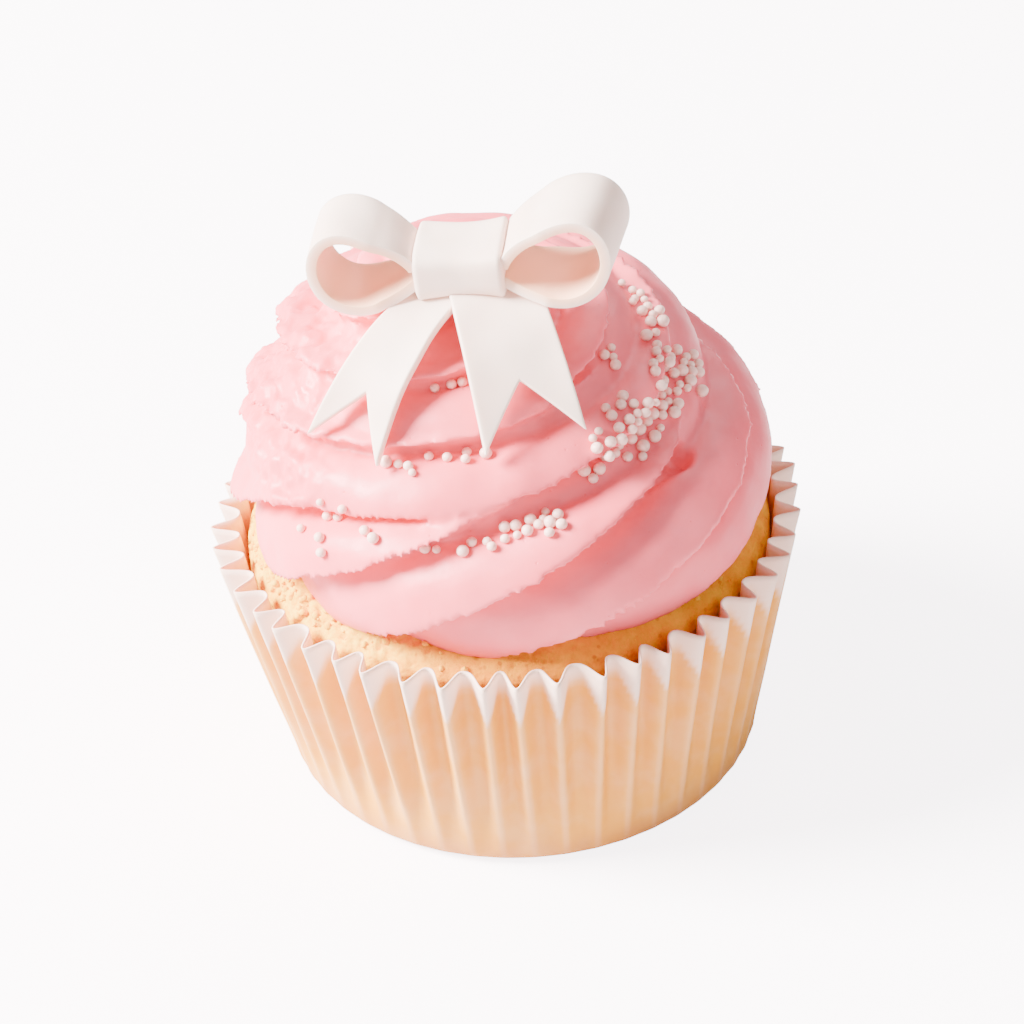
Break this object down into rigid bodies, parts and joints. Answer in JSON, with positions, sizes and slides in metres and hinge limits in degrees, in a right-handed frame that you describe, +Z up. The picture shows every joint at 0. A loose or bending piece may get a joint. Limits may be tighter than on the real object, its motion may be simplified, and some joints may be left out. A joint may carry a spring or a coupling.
{
  "type": "cupcake",
  "caption": "Iced cupcake: sponge in a fluted paper case with a piped buttercream swirl and a white fondant ribbon bow on top.",
  "frame": {"origin": "middle of the paper case's flat base, on the surface it stands on", "axes": "+Z up the cake, -Y towards the side that the bow's tails hang over, +X to the right of that side"},
  "size_m": [0.0622, 0.0622, 0.0703],
  "materials": {
    "paper": "thin greaseproof paper, matt and slightly translucent",
    "sponge": "baked golden sponge crumb, matt",
    "buttercream": "smooth pale pink buttercream, soft satin",
    "fondant": "rolled white sugar fondant, matt satin",
    "sugar": "round white sugar sprinkles, satin"
  },
  "bodies": {
    "root": {"paper_case": "paper", "sponge": "sponge", "buttercream_swirl": "buttercream", "bow_knot": "fondant", "bow_loop_left": "fondant", "bow_loop_right": "fondant", "bow_tail_left": "fondant", "bow_tail_right": "fondant"}
  },
  "joints": []
}
